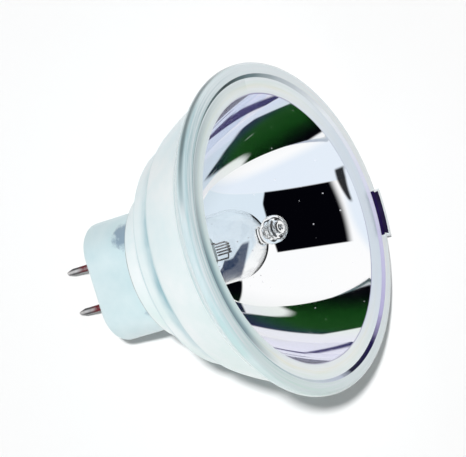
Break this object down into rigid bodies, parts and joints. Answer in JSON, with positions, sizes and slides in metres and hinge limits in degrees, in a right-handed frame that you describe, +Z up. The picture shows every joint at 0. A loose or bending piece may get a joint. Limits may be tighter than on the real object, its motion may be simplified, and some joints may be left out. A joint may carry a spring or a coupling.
{
  "type": "halogen reflector lamp",
  "caption": "Open-fronted pressed-glass reflector lamp with an ellipsoidal mirror, a clear quartz capsule with a flat coil, a flat-sided neck and bare contact pins.",
  "frame": {"origin": "middle of the footprint, on the table that the lamp lies on", "axes": "+Z up; the mouth faces -Y and up; the pins lie side by side along X; the lamp rests on the back of its rim and on the end of one flat of its neck"},
  "size_m": [0.05, 0.0494, 0.044],
  "materials": {
    "reflector_glass": "milky pressed glass, mirror-coated inside",
    "quartz": "clear fused quartz",
    "tungsten": "drawn wire",
    "molybdenum": "bright rod and foil",
    "pin_metal": "dull plated wire, stained near the cement",
    "cement": "matt cast cement"
  },
  "bodies": {
    "root": {"reflector": "reflector_glass", "capsule": "quartz", "filament": "tungsten", "lead_left": "molybdenum", "lead_right": "molybdenum", "foil_left": "molybdenum", "foil_right": "molybdenum", "contact_pin_left": "pin_metal", "contact_pin_right": "pin_metal", "cement": "cement"}
  },
  "joints": []
}
